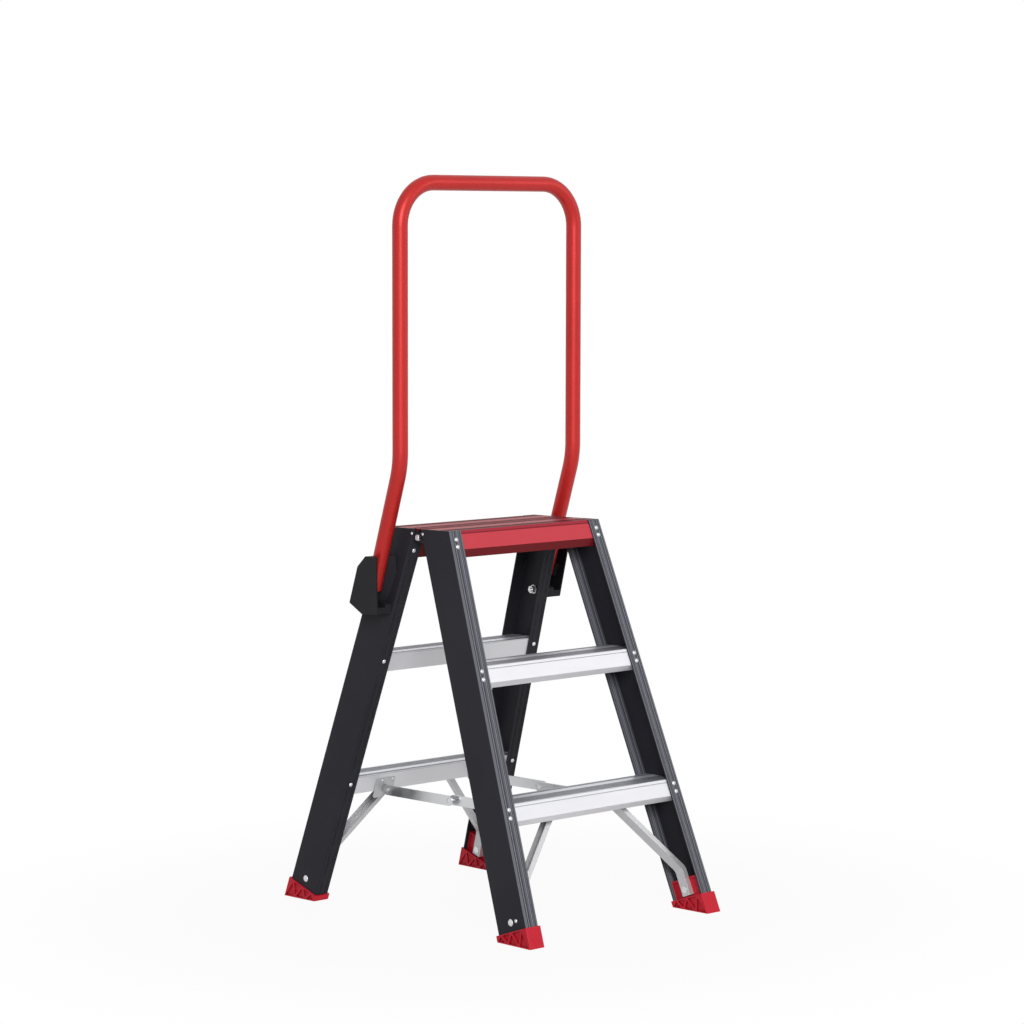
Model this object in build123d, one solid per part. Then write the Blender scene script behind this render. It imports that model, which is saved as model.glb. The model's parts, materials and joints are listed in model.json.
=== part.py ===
from build123d import *
import os
from math import acos, asin, cos, degrees, radians, sin

# A double-sided step ladder with a plug-in guard rail, standing open on the floor.
# Millimetres and degrees. Origin on the floor in the middle, +Z up, the front half towards -Y.
# Every piece of a half is made for the front left corner and mirrored to the other corners.

# Overall shape
PLATFORM_HEIGHT = 702.0
STEP_RISE = 233.0
LEG_TILT = 19.7
SIDE_TAPER = 3.6
TOP_WIDTH = 361.0
HINGE_DROP = 16.0

# Stiles, U channels with the web outside
STILE_DEPTH = 76.5
FLANGE_WIDTH = 27.0
WEB_WALL = 2.2
FLANGE_WALL = 2.2
STILE_CORNER = 2.4
HINGE_GAP = 13.0
GROOVE_INSETS = (6.5, 9.5, 18.5, 21.5)
GROOVE_WIDTH = 1.2
GROOVE_DEPTH = 0.7

# Treads, aluminium extrusions that end inside the stiles
TREAD_WALL = 2.4
STEP_PLATE = 3.0
STEP_FACE = 29.0
STEP_BEVEL = 10.0
STEP_BACK = 32.8
TOP_PLATE = 4.0
TOP_FACE = 33.0
TOP_BEVEL = 14.8
TOP_BACK = 54.5
BEVEL_SET_BACK = 8.0
INNER_RIB_DROP = 30.0
TREAD_END_GAP = 0.3
RIB_PITCH = 6.0
RIB_GROOVE = 3.4
RIB_GROOVE_DEPTH = 1.5
RIB_FRONT_MARGIN = 9.0
RIB_BACK_MARGIN = 7.0
STEP_FRONT_RIBS = 6
STEP_BACK_RIBS = 2
TOP_FRONT_RIBS = 4
TOP_BACK_RIBS = 3
NOSE_RADIUS = 1.5
NOSE_GROOVE = 1.2
NOSE_GROOVE_DEPTH = 0.6
NOSE_GROOVE_DROP = 5.5
PLATFORM_GAP = 6.0
PLATFORM_EDGE = 1.2

# Feet, moulded caps with a plug inside the channel
FOOT_WALL = 3.4
FOOT_BASE = 8.0
FOOT_OUTER_HEIGHT = 36.0
FOOT_INNER_HEIGHT = 10.0
FOOT_PLUG_HEIGHT = 57.0
FOOT_PLUG = 17.3
FOOT_RIM = 4.0
FOOT_RECESS = 1.5
FOOT_CORNER = 2.0
FOOT_FIT = 0.15
TRUSS_RIB = 2.4
TRUSS_BAYS = 6
TRUSS_DEPTH = 2.4

# Braces, bent U channels between the lower treads and the feet
BRACE_WIDTH = 20.0
BRACE_FLANGE = 9.5
BRACE_WALL = 1.5
BRACE_BEND = 14.0
BRACE_BEND_HEIGHT = 70.4
BRACE_END_HEIGHT = 25.5
BRACE_REACH = 76.0
BRACE_TOP_GAP = 5.0
BRACE_RIVET_DROP = 18.0

# Hinges between the stile tops
KNUCKLE_RADIUS = 9.0
KNUCKLE_COUNT = 4
KNUCKLE_GAP = 0.3
HINGE_WIDTH = 20.0
HINGE_INSET = 5.5
LEAF_THICKNESS = 3.6
LEAF_LOW = 4.0
LEAF_TOP_GAP = 0.6
PIN_RADIUS = 4.0
PIN_HEAD_RADIUS = 5.5
PIN_HEAD = 6.5
PIN_HEAD_EDGE = 1.2
PIN_END_RADIUS = 5.5
PIN_END = 1.5
PIN_FIT = 0.05
SCREW_DROP = 9.0
SCREW_LENGTH = 4.6
SCREW_SHANK = 0.9
SCREW_HEAD = 2.8
SCREW_DOME = 1.6

# Rivets
RIVET_SHANK = 2.4
RIVET_HEAD = 4.0
RIVET_DOME = 2.2
RIVET_TAIL = 3.4
RIVET_TAIL_HEIGHT = 1.5
RIVET_INSET = 13.0
RIVET_FIT = 0.05
STEP_RIVET_DROPS = (8.0, 22.0)
STEP_BACK_RIVET_DROP = 13.0
TOP_RIVET_DROPS = (15.0, 27.6)
TOP_BACK_RIVET_DROP = 41.0
BRACE_BOLT_SHANK = 4.0
BRACE_BOLT_HEAD = 6.5
BRACE_BOLT_DOME = 3.0
BRACE_BOLT_HEIGHT = 38.0
FOOT_RIVET_HEIGHT = 43.0
FOOT_RIVET_SHIFT = 14.8
FOOT_RIVET_LENGTH = 12.0

# Stays, two flat links on each side that hold the halves apart
STAY_SIDE = 110.0
STAY_DROP = 32.0
STAY_DEPTH = 18.5
STAY_THICKNESS = 3.0
STAY_LINK_GAP = 7.8
STAY_PIVOT_INSET = 3.6
STAY_PIN_RADIUS = 3.0
STAY_PIN_HEAD = 4.5
STAY_PIN_HEAD_HEIGHT = 1.5
STAY_PIN_FIT = 0.05
STAY_RIVET_HEAD = 5.0
STAY_RIVET_DOME = 2.0
STAY_RIVET_GAP = 0.05
EAR_THICKNESS = 2.0
EAR_RADIUS = 6.0
EAR_GAP = 0.3
BRACKET_PLATE = 2.0
BRACKET_WIDTH = 45.0
BRACKET_SHIFT = 5.5
BRACKET_ABOVE = 20.0
BRACKET_BELOW = 8.0
TAB_WIDTH = 22.0
TAB_DROP = 19.0
TAB_CORNER = 5.0
BRACKET_RIVET_RISE = 15.0
BRACKET_RIVET_SPREAD = 12.0

# Guard rail, one bent tube that stands in two sockets on the rear stiles
RAIL_RADIUS = 14.0
RAIL_WALL = 1.5
RAIL_OUT = 20.8
RAIL_OFFSET = 52.5
RAIL_RISE = 615.0
RAIL_KINK_RISE = 113.0
RAIL_LEAN = 1.4
RAIL_CORNER = 77.0
RAIL_KINK_RADIUS = 160.0
RAIL_PLUG_LENGTH = 16.0
RAIL_PLUG_FLANGE = 3.0
RAIL_PLUG_FIT = 0.05

# Rail sockets, moulded pockets bolted to the webs
# The outline's corners are set by their drop below the platform and their offset from the hinge plane
SOCKET_TOP_DROP = 50.0
SOCKET_SHOULDER_DROP = 70.0
SOCKET_FLOOR_DROP = 113.0
SOCKET_HEEL_DROP = 138.0
SOCKET_SOLE_DROP = 157.6
SOCKET_TOE_DROP = 155.5
SOCKET_LIP_TOP = 35.0
SOCKET_CROWN = 64.0
SOCKET_SHOULDER = 81.6
SOCKET_HEEL = 91.6
SOCKET_SOLE = 53.8
SOCKET_TOE = 14.5
SOCKET_BASE = 5.0
SOCKET_WALL = 2.6
SOCKET_REACH = 19.4
SOCKET_FLARE = 6.8
SOCKET_CHEEK_ANGLE = 45.0
SOCKET_COLLAR = 24.0
SOCKET_GRIP = 9.0
SOCKET_GRIP_DEPTH = 14.0
SOCKET_SHELF = 7.0
SOCKET_SHELF_FRONT = 8.0
SOCKET_POCKET_INSET = 16.0
SOCKET_SILL = 1.5
SOCKET_FIT = 0.3
SOCKET_BOLT_DROP = 29.0
BOLT_RADIUS = 4.0
BOLT_FIT = 0.1
BOLT_HEAD_FLATS = 13.0
BOLT_HEAD_HEIGHT = 5.3
NUT_HEIGHT = 6.5
BOLT_STICK_OUT = 3.0
WASHER_RADIUS = 8.5
WASHER_THICKNESS = 1.6

# Derived values
TILT_SIN = sin(radians(LEG_TILT))
TILT_COS = cos(radians(LEG_TILT))
TAPER_SIN = sin(radians(SIDE_TAPER))
TAPER_COS = cos(radians(SIDE_TAPER))
HINGE_HEIGHT = PLATFORM_HEIGHT - HINGE_DROP
LOWER_TOP = PLATFORM_HEIGHT - 2 * STEP_RISE
UPPER_TOP = PLATFORM_HEIGHT - STEP_RISE
OUTER_OFFSET = HINGE_GAP + STILE_DEPTH
STILE_CENTRE = HINGE_GAP + STILE_DEPTH / 2
TREAD_FRONT = OUTER_OFFSET - FLANGE_WALL
TREAD_BACK = HINGE_GAP + FLANGE_WALL
INNER_RIB_FRONT = STILE_CENTRE - BRACE_WIDTH / 2
BRACE_SEAT = WEB_WALL + FOOT_PLUG - FOOT_RECESS
BRACE_BACK = BRACE_SEAT + BRACE_FLANGE
HINGE_OUTER = TOP_WIDTH / 2 - HINGE_INSET
HINGE_INNER = HINGE_OUTER - HINGE_WIDTH
STAY_HEIGHT = LOWER_TOP - STAY_DROP
SOCKET_FLOOR = PLATFORM_HEIGHT - SOCKET_FLOOR_DROP
FAR = 3 * PLATFORM_HEIGHT

# Frames: one half with its hinge axis at the origin, and its left stile with the web's outer face at X = 0
HALF = Pos(0, 0, HINGE_HEIGHT) * Rot(X=-LEG_TILT)
STILE = HALF * Pos(-TOP_WIDTH / 2, -STILE_CENTRE, 0) * Rot(Y=SIDE_TAPER)


def drop_at(offset, height):
    """Place along a half's upright of a point at this offset from the hinge plane and this height."""
    return (height - HINGE_HEIGHT - offset * TILT_SIN) / TILT_COS


def depth_at(offset, height):
    """Y, on the front half, of the plane at this offset from the hinge plane, at this height."""
    return -offset * TILT_COS + drop_at(offset, height) * TILT_SIN


def along_stile(shift, height, inset=0.0):
    """Place along the left stile of a point at this shift from its centre line and this height."""
    return (drop_at(STILE_CENTRE - shift, height) + inset * TAPER_SIN) / TAPER_COS


def web_side(height):
    """Distance from the middle of the ladder to the web's outer face, on the stile's centre line."""
    drop = drop_at(STILE_CENTRE, height)
    return TOP_WIDTH / 2 - drop * TAPER_SIN / TAPER_COS


def slab(low, high):
    """Everything between two heights."""
    return Pos(0, 0, (low + high) / 2) * Box(FAR, FAR, high - low)


def side_prism(points, low, high):
    """A prism along X between two places, from an outline of (Y, Z) points."""
    face = make_face(Polyline(*points, close=True).edges())
    return Pos(low, 0, 0) * extrude(Plane.YZ * face, high - low)


def mirrored(shape):
    """The same piece on the right side."""
    return mirror(shape, about=Plane.YZ)


def on_corner(shape, half, side):
    """A front left piece carried over to another corner."""
    if side == "right":
        shape = mirrored(shape)
    if half == "rear":
        shape = mirror(shape, about=Plane.XZ)
    return shape


def write(name, shapes):
    """One STEP file for a piece, or for a group of like fasteners."""
    solids = [solid for shape in shapes for solid in shape.solids()]
    whole = solids[0] if len(solids) == 1 else Compound(solids)
    export_step(whole, os.path.join("parts", name + ".step"))


# Fasteners, along Z with the head on the plane Z = 0

def dome_head(radius, height):
    """A round head with a flat underside on the plane Z = 0."""
    ball = (radius * radius + height * height) / (2 * height)
    start = degrees(asin((ball - height) / ball))
    crown = CenterArc((0, height - ball), ball, start, 90 - start)
    rest = Polyline((0, height), (0, 0), (radius, 0))
    return revolve(Plane.XZ * make_face(crown.edges() + rest.edges()), Axis.Z)


def stem(radius, low, high):
    """A round bar along Z between two places."""
    return Pos(0, 0, (low + high) / 2) * Cylinder(radius, high - low)


def rivet(grip, shank=RIVET_SHANK, head=RIVET_HEAD, dome=RIVET_DOME, tail=RIVET_TAIL):
    """A rivet with a domed head and a flat formed tail on the far side of its grip."""
    end = stem(tail, -grip - RIVET_TAIL_HEIGHT, -grip)
    return dome_head(head, dome) + stem(shank, -grip, 0) + end


def rivet_hole(grip, shank=RIVET_SHANK):
    """What a rivet's hole takes out of the pieces that it holds."""
    return Pos(0, 0, -grip / 2) * Cylinder(shank + RIVET_FIT, 2 * grip)


def hexagon(flats, height):
    """A hexagon prism that stands on the plane Z = 0."""
    return extrude(RegularPolygon(flats / 2, 6, major_radius=False), height)


# Places of the rivets on the front left stile, each with the head outwards

def outer_flange_place(height):
    """On the outer flange, facing away from the hinge."""
    edge = -STILE_DEPTH / 2
    return STILE * Pos(RIVET_INSET, edge, along_stile(edge, height, RIVET_INSET)) * Rot(X=90)


def inner_flange_place(height):
    """On the inner flange, facing the hinge plane."""
    edge = STILE_DEPTH / 2
    return STILE * Pos(RIVET_INSET, edge, along_stile(edge, height, RIVET_INSET)) * Rot(X=-90)


def web_place(shift, height):
    """On the web, facing outwards."""
    return STILE * Pos(0, shift, along_stile(shift, height)) * Rot(Y=-90)


def tread_rivet_places():
    """All rivets that hold the ends of the three treads in one stile."""
    places = []
    for top in (LOWER_TOP, UPPER_TOP):
        places += [outer_flange_place(top - drop) for drop in STEP_RIVET_DROPS]
        places.append(inner_flange_place(top - STEP_BACK_RIVET_DROP))
    places += [outer_flange_place(PLATFORM_HEIGHT - drop) for drop in TOP_RIVET_DROPS]
    places.append(inner_flange_place(PLATFORM_HEIGHT - TOP_BACK_RIVET_DROP))
    return places


TREAD_GRIP = FLANGE_WALL + TREAD_WALL
BRACE_BOLT_PLACE = web_place(0, BRACE_BOLT_HEIGHT)
FOOT_RIVET_PLACE = web_place(-FOOT_RIVET_SHIFT, FOOT_RIVET_HEIGHT)
HINGE_SCREW_SHIFT = STILE_DEPTH / 2 - FLANGE_WALL - TREAD_WALL / 2
HINGE_SCREW_PLACE = web_place(HINGE_SCREW_SHIFT, PLATFORM_HEIGHT - SCREW_DROP)
SOCKET_BOLT_PLACE = web_place(0, SOCKET_FLOOR - SOCKET_BOLT_DROP)


# Stiles

def stile():
    """The front left stile: a grooved U channel, cut level, with a notch for the platform."""
    profile = Rectangle(FLANGE_WIDTH, STILE_DEPTH, align=(Align.MIN, Align.CENTER))
    corners = profile.vertices().sort_by(Axis.X)[:2]
    profile = fillet(corners, STILE_CORNER)
    inside = Rectangle(FLANGE_WIDTH, STILE_DEPTH - 2 * FLANGE_WALL, align=(Align.MIN, Align.CENTER))
    profile -= Pos(WEB_WALL, 0) * inside
    for inset in GROOVE_INSETS:
        for edge in (-STILE_DEPTH / 2, STILE_DEPTH / 2):
            profile -= Pos(inset, edge) * Rectangle(GROOVE_WIDTH, 2 * GROOVE_DEPTH)
    bar = STILE * extrude(profile, FAR / 2, both=True)
    bar = bar & slab(FOOT_BASE, PLATFORM_HEIGHT)
    notch = STILE * Pos(WEB_WALL, 0, 0) * Box(FAR, FAR, FAR, align=(Align.MIN, Align.MIN, Align.CENTER))
    bar -= notch & slab(PLATFORM_HEIGHT - TOP_PLATE - TREAD_END_GAP, FAR)
    for place in tread_rivet_places():
        bar -= place * rivet_hole(TREAD_GRIP)
    return bar - BRACE_BOLT_PLACE * rivet_hole(BRACE_BACK, BRACE_BOLT_SHANK)


# Treads

def between_webs():
    """The room between the two webs of a half."""
    left = STILE * Pos(WEB_WALL + TREAD_END_GAP, 0, 0) * Box(
        FAR, FAR, 2 * FAR, align=(Align.MIN, Align.CENTER, Align.CENTER)
    )
    return left & mirrored(left)


def tread_section(top, plate, face, bevel, back):
    """Section of a tread in Y and Z: front wall with a bevelled foot, top plate, inner rib and back wall."""
    def corner(offset, drop):
        return (depth_at(offset, top - drop), top - drop)

    foot = TREAD_FRONT - BEVEL_SET_BACK
    rib_back = INNER_RIB_FRONT - TREAD_WALL
    points = [
        corner(TREAD_FRONT, 0),
        corner(TREAD_FRONT, face),
        corner(foot, face + bevel),
        corner(foot - TREAD_WALL, face + bevel),
        corner(TREAD_FRONT - TREAD_WALL, face),
        corner(TREAD_FRONT - TREAD_WALL, plate),
        corner(INNER_RIB_FRONT, plate),
        corner(INNER_RIB_FRONT, INNER_RIB_DROP),
        corner(rib_back, INNER_RIB_DROP),
        corner(rib_back, plate),
        corner(TREAD_BACK + TREAD_WALL, plate),
        corner(TREAD_BACK + TREAD_WALL, back),
        corner(TREAD_BACK, back),
        corner(TREAD_BACK, 0),
    ]
    section = make_face(Polyline(*points, close=True).edges())
    noses = [section.vertices().sort_by_distance((*points[i], 0))[0] for i in (0, 13)]
    return fillet(noses, NOSE_RADIUS)


def rib_grooves(top, back, front_count, back_count):
    """Grooves of a tread, in Y and Z: rows at its front and back edges, and a line along its face."""
    front = depth_at(TREAD_FRONT, top)
    places = [front + RIB_FRONT_MARGIN + i * RIB_PITCH for i in range(front_count)]
    places += [back - RIB_BACK_MARGIN - i * RIB_PITCH for i in range(back_count)]
    grooves = [Pos(place, top) * Rectangle(RIB_GROOVE, 2 * RIB_GROOVE_DEPTH) for place in places]
    height = top - NOSE_GROOVE_DROP
    line = Rot(Z=-LEG_TILT) * Rectangle(2 * NOSE_GROOVE_DEPTH, NOSE_GROOVE)
    return grooves + [Pos(depth_at(TREAD_FRONT, height), height) * line]


def tread_holes(drops, back_drop, top):
    """Rivet holes in both ends of one tread."""
    places = [outer_flange_place(top - drop) for drop in drops]
    places.append(inner_flange_place(top - back_drop))
    holes = [place * rivet_hole(TREAD_GRIP) for place in places]
    return holes + [mirrored(hole) for hole in holes]


def step_tread(top):
    """One of the two aluminium treads of the front half."""
    section = tread_section(top, STEP_PLATE, STEP_FACE, STEP_BEVEL, STEP_BACK)
    for groove in rib_grooves(top, depth_at(TREAD_BACK, top), STEP_FRONT_RIBS, STEP_BACK_RIBS):
        section -= groove
    tread = extrude(Plane.YZ * section, FAR / 2, both=True) & between_webs()
    for hole in tread_holes(STEP_RIVET_DROPS, STEP_BACK_RIVET_DROP, top):
        tread -= hole
    return tread


def top_tread():
    """The red tread of the front half, whose top plate reaches over the inner flanges and the hinge."""
    top = PLATFORM_HEIGHT
    back = -PLATFORM_GAP / 2
    start = depth_at(TREAD_BACK + TREAD_WALL, top)
    lip = Pos((start + back) / 2, top - TOP_PLATE / 2) * Rectangle(back - start, TOP_PLATE)
    lip = fillet(lip.vertices().sort_by(Axis.X)[-2:], PLATFORM_EDGE)
    section = tread_section(top, TOP_PLATE, TOP_FACE, TOP_BEVEL, TOP_BACK) + lip
    for groove in rib_grooves(top, back, TOP_FRONT_RIBS, TOP_BACK_RIBS):
        section -= groove
    tread = extrude(Plane.YZ * section, FAR / 2, both=True) & between_webs()
    for hole in tread_holes(TOP_RIVET_DROPS, TOP_BACK_RIVET_DROP, top):
        tread -= hole
    return tread


# Feet

def foot_outline():
    """Side view of a foot in Y and Z: high at the outer end and low at the inner end."""
    outer = OUTER_OFFSET + FOOT_WALL
    inner = HINGE_GAP - FOOT_WALL
    return [
        (depth_at(outer, FOOT_OUTER_HEIGHT), FOOT_OUTER_HEIGHT),
        (depth_at(inner, FOOT_INNER_HEIGHT), FOOT_INNER_HEIGHT),
        (depth_at(inner, 0), 0),
        (depth_at(outer, 0), 0),
    ]


def truss_windows():
    """Triangles between the zigzag ribs on a foot's side, in Y and Z."""
    high, low, low_end, high_end = [Vector(*point) for point in foot_outline()]

    def upper(share):
        return high + (low - high) * share

    def lower(share):
        return high_end + (low_end - high_end) * share

    windows = []
    for bay in range(TRUSS_BAYS):
        ends = (bay / TRUSS_BAYS, (bay + 1) / TRUSS_BAYS, (bay + 2) / TRUSS_BAYS)
        if ends[2] > 1:
            continue
        rows = (upper, lower, upper) if bay % 2 else (lower, upper, lower)
        triangle = make_face(Polyline(*[row(end) for row, end in zip(rows, ends)], close=True).edges())
        windows.append(offset(triangle, -TRUSS_RIB, kind=Kind.INTERSECTION))
    return windows


def stile_box(inset_low, inset_high, shift, low, high):
    """A block along the left stile between two insets, twice the shift deep, cut level at two heights."""
    block = Pos((inset_low + inset_high) / 2, 0, 0) * Box(inset_high - inset_low, 2 * shift, FAR)
    return (STILE * block) & slab(low, high)


def foot_plug():
    """The part of a foot inside the channel: a block whose rimmed inner face takes the brace."""
    shift = STILE_DEPTH / 2 - FLANGE_WALL - FOOT_FIT
    face = WEB_WALL + FOOT_PLUG
    high = along_stile(0, FOOT_PLUG_HEIGHT)
    block = stile_box(WEB_WALL + FOOT_FIT, face, shift, FOOT_BASE - FOOT_WALL, FAR)
    recess = stile_box(face - FOOT_RECESS, face + FOOT_RECESS, shift - FOOT_RIM, FOOT_BASE, FAR)
    above = Box(FAR, FAR, FAR, align=(Align.CENTER, Align.CENTER, Align.MIN))
    recess -= STILE * Pos(0, 0, high - FOOT_RIM) * above
    recess += stile_box(face - FOOT_RECESS, face + FOOT_RECESS, BRACE_WIDTH / 2 + FOOT_FIT, FOOT_BASE, FAR)
    return block - STILE * Pos(0, 0, high) * above - recess


def foot():
    """The front left foot: a moulded shoe round the stile's end, with trussed sides and a plug."""
    wide = FLANGE_WIDTH + 2 * FOOT_WALL
    deep = STILE_DEPTH + 2 * FOOT_WALL
    shell = Pos(FLANGE_WIDTH / 2, 0) * RectangleRounded(wide, deep, FOOT_CORNER)
    shoe = STILE * extrude(shell, FAR / 2, both=True)
    shoe = shoe & side_prism(foot_outline(), -FAR, FAR)
    pocket = STILE_DEPTH / 2 + FOOT_FIT
    shoe -= stile_box(-FOOT_FIT, FLANGE_WIDTH + FOOT_FIT, pocket, FOOT_BASE, FAR)
    shoe += foot_plug()
    faces = (-FOOT_WALL, FLANGE_WIDTH + FOOT_WALL - TRUSS_DEPTH)
    for window in truss_windows():
        cutter = extrude(Plane.YZ * window, FAR / 2, both=True)
        for face in faces:
            room = stile_box(face, face + TRUSS_DEPTH, deep, -FAR, FAR)
            shoe -= cutter & room
    return shoe - BRACE_BOLT_PLACE * rivet_hole(BRACE_BACK, BRACE_BOLT_SHANK)


def foot_rivet():
    """A plain driven rivet from the web into the foot's plug."""
    return FOOT_RIVET_PLACE * (dome_head(RIVET_TAIL, RIVET_DOME) + stem(RIVET_SHANK, -FOOT_RIVET_LENGTH, 0))


def foot_rivet_hole():
    """The blind hole of that rivet."""
    return FOOT_RIVET_PLACE * stem(RIVET_SHANK + RIVET_FIT, -FOOT_RIVET_LENGTH, FOOT_WALL)


# Braces

def brace_point(inset, height):
    """A point of the left brace's line, at this inset from the stile's web, in the half's frame."""
    drop = drop_at(STILE_CENTRE, height)
    side = TOP_WIDTH / 2 - drop * TAPER_SIN / TAPER_COS - inset / TAPER_COS
    return Vector(-side, -STILE_CENTRE, drop)


def brace_path():
    """Foot end, bend and tread end of the left brace's web, in the half's frame."""
    low = brace_point(BRACE_BACK, BRACE_END_HEIGHT)
    bend = brace_point(BRACE_BACK, BRACE_BEND_HEIGHT)
    edge = LOWER_TOP - STEP_FACE - STEP_BEVEL
    meet = Vector(-BRACE_REACH, -STILE_CENTRE, drop_at(STILE_CENTRE, edge))
    rise = (drop_at(STILE_CENTRE, LOWER_TOP) - bend.Z) / (meet.Z - bend.Z)
    return low, bend, bend + (meet - bend) * rise


def brace_rivet_place():
    """Where the brace's inner flange is riveted to the tread's rib, with the head on the rib."""
    low, bend, top = brace_path()
    drop = drop_at(INNER_RIB_FRONT, LOWER_TOP - BRACE_RIVET_DROP)
    share = (drop - bend.Z) / (top.Z - bend.Z)
    run = (top - bend).normalized()
    out = Vector(-run.Z, 0, run.X)
    middle = bend + (top - bend) * share + out * ((BRACE_FLANGE + BRACE_WALL) / 2)
    return HALF * Pos(middle.X, TREAD_WALL - INNER_RIB_FRONT, middle.Z) * Rot(X=-90)


BRACE_GRIP = TREAD_WALL + BRACE_WALL


def brace():
    """The front left brace: a bent U channel whose edges stand on the foot's plug."""
    low, bend, top = brace_path()
    path = FilletPolyline(low, bend, top, radius=BRACE_BEND)
    start = Plane(low, x_dir=(0, 1, 0), z_dir=bend - low)
    section = Rectangle(BRACE_WIDTH, BRACE_FLANGE, align=(Align.CENTER, Align.MIN))
    hollow = Rectangle(BRACE_WIDTH - 2 * BRACE_WALL, BRACE_FLANGE, align=(Align.CENTER, Align.MIN))
    section -= Pos(0, BRACE_WALL) * hollow
    bar = HALF * sweep(start * section, path=path)
    bar = bar & slab(-FAR, LOWER_TOP - STEP_PLATE - BRACE_TOP_GAP)
    bar -= BRACE_BOLT_PLACE * rivet_hole(BRACE_BACK, BRACE_BOLT_SHANK)
    bar -= brace_rivet_place() * rivet_hole(BRACE_GRIP)
    return bar


# Hinges

def knuckle_spans(half):
    """X spans of one leaf's knuckles on the left hinge: every second one of the row."""
    pitch = (HINGE_OUTER - HINGE_INNER) / KNUCKLE_COUNT
    first = 0 if half == "rear" else 1
    spans = []
    for i in range(first, KNUCKLE_COUNT, 2):
        low = -HINGE_OUTER + i * pitch
        spans.append((low + KNUCKLE_GAP / 2, low + pitch - KNUCKLE_GAP / 2))
    return spans


def leaf_rivet_places(half):
    """Flush rivets through a leaf, each in front of a knuckle of the other leaf."""
    other = "front" if half == "rear" else "rear"
    face = HINGE_GAP - LEAF_THICKNESS
    places = []
    for low, high in knuckle_spans(other):
        places.append(HALF * Pos((low + high) / 2, -face, leaf_middle()) * Rot(X=-90))
    return places


def leaf_top():
    """Highest point of a leaf along the half's upright, just under the platform."""
    return drop_at(HINGE_GAP, PLATFORM_HEIGHT - TOP_PLATE) - LEAF_TOP_GAP


def leaf_middle():
    """Middle of a leaf along the half's upright."""
    return (leaf_top() - LEAF_LOW) / 2


LEAF_GRIP = LEAF_THICKNESS + FLANGE_WALL + TREAD_WALL


def hinge_leaf(half):
    """A left hinge leaf: a plate on the inner flange with knuckles round the hinge axis."""
    height = leaf_top() + LEAF_LOW
    middle = Pos(-(HINGE_OUTER + HINGE_INNER) / 2, LEAF_THICKNESS / 2 - HINGE_GAP, leaf_middle())
    leaf = middle * Box(HINGE_WIDTH, LEAF_THICKNESS, height)
    for low, high in knuckle_spans(half):
        middle = Pos((low + high) / 2, 0, 0)
        barrel = Rot(Y=90) * Cylinder(KNUCKLE_RADIUS, high - low)
        arm = Pos(0, -HINGE_GAP / 2, 0) * Box(high - low, HINGE_GAP, 2 * LEAF_LOW)
        leaf += middle * barrel + middle * arm
    bore = Rot(Y=90) * Cylinder(PIN_RADIUS + PIN_FIT, 2 * TOP_WIDTH)
    leaf = HALF * (leaf - bore)
    for place in leaf_rivet_places(half):
        leaf -= place * rivet_hole(LEAF_GRIP)
    return leaf


def leaf_rivet():
    """A flush rivet through leaf, flange and tread wall, with its tail inside the tread."""
    return stem(RIVET_SHANK, -LEAF_GRIP, 0) + stem(RIVET_TAIL, -LEAF_GRIP - RIVET_TAIL_HEIGHT, -LEAF_GRIP)


def hinge_screw():
    """A screw beside the left hinge, through the web into the end of the top tread's back wall."""
    return HINGE_SCREW_PLACE * (dome_head(SCREW_HEAD, SCREW_DOME) + stem(SCREW_SHANK, -SCREW_LENGTH, 0))


def hinge_screw_hole():
    """The hole of that screw."""
    return HINGE_SCREW_PLACE * stem(SCREW_SHANK + RIVET_FIT, -SCREW_LENGTH, SCREW_DOME)


def hinge_pin():
    """The left hinge pin, headed outside and spread at its inner end."""
    length = HINGE_WIDTH + 2 * KNUCKLE_GAP
    head = fillet(Cylinder(PIN_HEAD_RADIUS, PIN_HEAD).edges().group_by(Axis.Z)[-1], PIN_HEAD_EDGE)
    pin = stem(PIN_RADIUS, -length, 0) + Pos(0, 0, PIN_HEAD / 2) * head
    pin += stem(PIN_END_RADIUS, -length - PIN_END, -length)
    return Pos(-HINGE_OUTER - KNUCKLE_GAP, 0, HINGE_HEIGHT) * Rot(Y=-90) * pin


# Stays

STAY_PIVOT_DROP = drop_at(STAY_PIVOT_INSET, STAY_HEIGHT)
STAY_PIVOT_Y = depth_at(STAY_PIVOT_INSET, STAY_HEIGHT)


def link_side(half):
    """Distance from the middle to the centre of a link: the rear links run outside the front ones."""
    step = (STAY_THICKNESS + STAY_LINK_GAP) / 2
    return STAY_SIDE + step if half == "rear" else STAY_SIDE - step


def along_x(radius, length):
    """A round bar along X, centred."""
    return Rot(Y=90) * Cylinder(radius, length)


def stay_link(half):
    """A left link as on the front half: a flat strip with round ends, pierced at both pivots."""
    strip = SlotCenterToCenter(-STAY_PIVOT_Y, STAY_DEPTH)
    link = extrude(Plane.YZ * strip, STAY_THICKNESS / 2, both=True)
    link = Pos(-link_side(half), STAY_PIVOT_Y / 2, STAY_HEIGHT) * link
    for y in (STAY_PIVOT_Y, 0):
        hole = along_x(STAY_PIN_RADIUS + STAY_PIN_FIT, 4 * STAY_THICKNESS)
        link -= Pos(-link_side(half), y, STAY_HEIGHT) * hole
    return link


def stay_rivet_half(half):
    """One half of the middle rivet: a domed head and its shank up to midway between the links."""
    reach = STAY_THICKNESS + STAY_LINK_GAP / 2 - STAY_RIVET_GAP
    stub = dome_head(STAY_RIVET_HEAD, STAY_RIVET_DOME) + stem(STAY_PIN_RADIUS, -reach, 0)
    turn, out = (-90, -1) if half == "rear" else (90, 1)
    return Pos(out * STAY_THICKNESS / 2 - link_side(half), 0, STAY_HEIGHT) * Rot(Y=turn) * stub


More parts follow.
